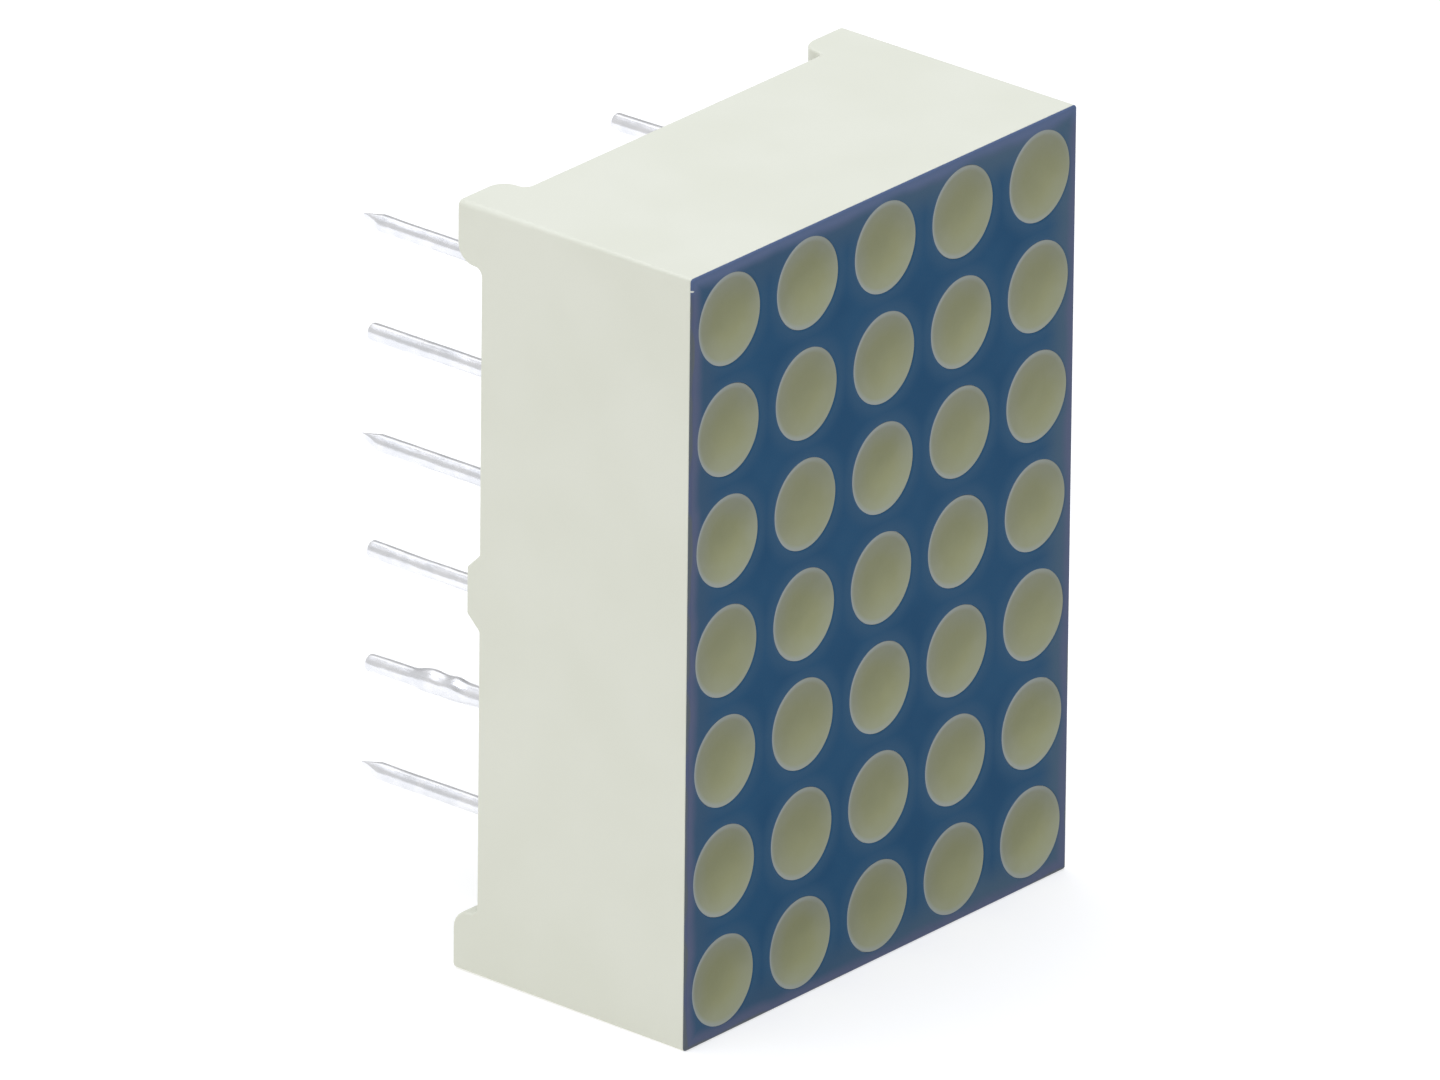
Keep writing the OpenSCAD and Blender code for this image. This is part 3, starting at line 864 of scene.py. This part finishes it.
def build_pin(k, material):
    """A tinned wire, cut square or pinched off, and bent a little where TIP_DROP says so."""
    place = pin_places[k]
    end_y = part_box(f"pin_{k}")[1].y
    body_end = end_y - (TIP_L if k in PINCHED else BLUNT_L)
    drop = TIP_DROP.get(k, 0)
    bm = bmesh.new()
    rings = []
    for y in pin_rows(k, body_end, end_y):
        ring = []
        into_tip = max(y - body_end, 0) / (end_y - body_end)
        sag = drop * max((y - TIN_Y) / (end_y - TIN_Y), 0) ** 1.5
        for i in range(PIN_STEPS):
            a = 2 * math.pi * i / PIN_STEPS
            r = pin_radius(k, y, a)
            if y == PIN_FRONT_Y:
                r -= BEVEL_R
            px, pz = r * math.cos(a), r * math.sin(a)
            if k in PINCHED:
                px, pz = pinch(px, pz, into_tip)
            else:
                shrink = 1 - BLUNT_SHRINK * into_tip ** 2
                px, pz = px * shrink, pz * shrink
            ring.append(bm.verts.new((place.x + px, y, place.z + pz - sag)))
        rings.append(ring)
    bridge_rows(bm, rings)
    bm.faces.new(rings[0])
    bm.faces.new(rings[-1])
    add_piece(f"tinned_pin_{k}", bm, material, [f"pin_{k}"], 50)


# ---- Camera, light and stage ----

def look_from(obj, place, target):
    obj.location = place
    obj.rotation_euler = (target - place).to_track_quat("-Z", "Y").to_euler()


def add_camera():
    azimuth, elevation, roll = math.radians(-49.91), math.radians(23.777), math.radians(0.596)
    distance = 673.5 * MM
    aim = Vector((-1.940, -3.651, 0.688)) * MM
    level = Vector((math.sin(azimuth), -math.cos(azimuth), 0))
    back = level * math.cos(elevation) + Vector((0, 0, math.sin(elevation)))
    camera = bpy.data.objects.new("camera", bpy.data.cameras.new("camera"))
    bpy.context.scene.collection.objects.link(camera)
    camera.data.lens = 795.0
    camera.data.sensor_width = 36
    camera.data.clip_end = 10
    look_from(camera, aim + back * distance, aim)
    rolled = camera.rotation_euler.to_matrix() @ Matrix.Rotation(roll, 3, "Z")
    camera.rotation_euler = rolled.to_euler()
    bpy.context.scene.camera = camera


def add_area(name, place, target, size, power, colour=(1, 1, 1)):
    light = bpy.data.lights.new(name, "AREA")
    light.shape = "RECTANGLE"
    light.size, light.size_y = size
    light.energy = power
    light.color = colour
    lamp = bpy.data.objects.new(name, light)
    bpy.context.scene.collection.objects.link(lamp)
    look_from(lamp, Vector(place), Vector(target))


# Light from all round the room, how much more comes from behind, and what its dark corner gives
ROOM_LIGHT = 0.53
BACK_LIGHT = 0.22
DARK_CORNER = Vector((0.78, 0.6, 0.12)).normalized()
DARK_FROM, DARK_WITHIN = math.radians(48), math.radians(24)
CORNER_LIGHT = 0.3


def add_light():
    target = (0, 0, 0)
    add_area("key_from_above", (-0.05, 0.0, 0.5), target, (0.6, 0.6), 2.3, (0.93, 0.965, 1.06))
    add_area("strip_over_the_pins", (0.17, 0.295, 0.366), target, (0.18, 0.18), 0.06)
    world = bpy.data.worlds.new("studio")
    world.use_nodes = True
    bpy.context.scene.world = world
    tree = world.node_tree
    background = tree.nodes["Background"]
    seen = tree.nodes.new("ShaderNodeLightPath").outputs["Is Camera Ray"]
    way = node(tree, "ShaderNodeTexCoord").outputs["Generated"]
    towards = node(tree, "ShaderNodeVectorMath", {0: way, 1: DARK_CORNER}, operation="DOT_PRODUCT")
    dark = ramp(tree, towards.outputs["Value"], math.cos(DARK_FROM), math.cos(DARK_WITHIN))
    behind = ramp(tree, node(tree, "ShaderNodeSeparateXYZ", {"Vector": way}).outputs["Y"], 0.3, 0.6)
    room = maths(tree, "MULTIPLY_ADD", behind, BACK_LIGHT, ROOM_LIGHT)
    room = maths(tree, "MULTIPLY_ADD", dark, CORNER_LIGHT - ROOM_LIGHT, room)
    tree.links.new(maths(tree, "MAXIMUM", room, seen), background.inputs["Strength"])
    background.inputs["Color"].default_value = (1, 1, 1, 1)


FLOOR_HALF = 1.5


def add_floor(material):
    bm = bmesh.new()
    bmesh.ops.create_grid(bm, x_segments=4, y_segments=4, size=FLOOR_HALF)
    mesh = bpy.data.meshes.new("stage_floor")
    bm.to_mesh(mesh)
    bm.free()
    mesh.materials.append(material)
    floor = bpy.data.objects.new("stage_floor", mesh)
    floor.location.z = housing_low.z
    bpy.context.scene.collection.objects.link(floor)


# ---- Build ----

add_camera()
add_light()
add_floor(stage_paper())
bpy.context.scene.view_settings.view_transform = "Standard"

build_housing(white_plastic())
build_ink(blue_ink())
resin = dot_resin()
for row, column in dot_places:
    build_dot(row, column, resin)
build_potting(potting_resin())
tin = tinned_wire()
for number in pin_places:
    build_pin(number, tin)

inner_finishes = {
    "board": glass_epoxy(),
    "front_copper": simple_finish("copper_foil", (0.82, 0.46, 0.30), (0.70, 0.36, 0.22), 0.25, 0.05, 1.0),
    "die_bonds": simple_finish("silver_resin", (0.66, 0.66, 0.66), (0.52, 0.52, 0.52), 0.45, 0.03, 1.0),
    "chips": simple_finish("diced_chip", (0.50, 0.46, 0.20), (0.40, 0.36, 0.15), 0.3, 0.04),
    "bond_wires": simple_finish("drawn_gold", (0.98, 0.74, 0.32), (0.90, 0.64, 0.25), 0.2, 0.02, 1.0),
    "solder_joints": simple_finish("soft_solder", (0.74, 0.74, 0.76), (0.60, 0.60, 0.63), 0.22, 0.08, 1.0),
}
inner_finishes["rear_copper"] = inner_finishes["front_copper"]
inner_finishes["links"] = inner_finishes["front_copper"]
for name, finish in inner_finishes.items():
    nodes[name].data.materials.clear()
    nodes[name].data.materials.append(finish)
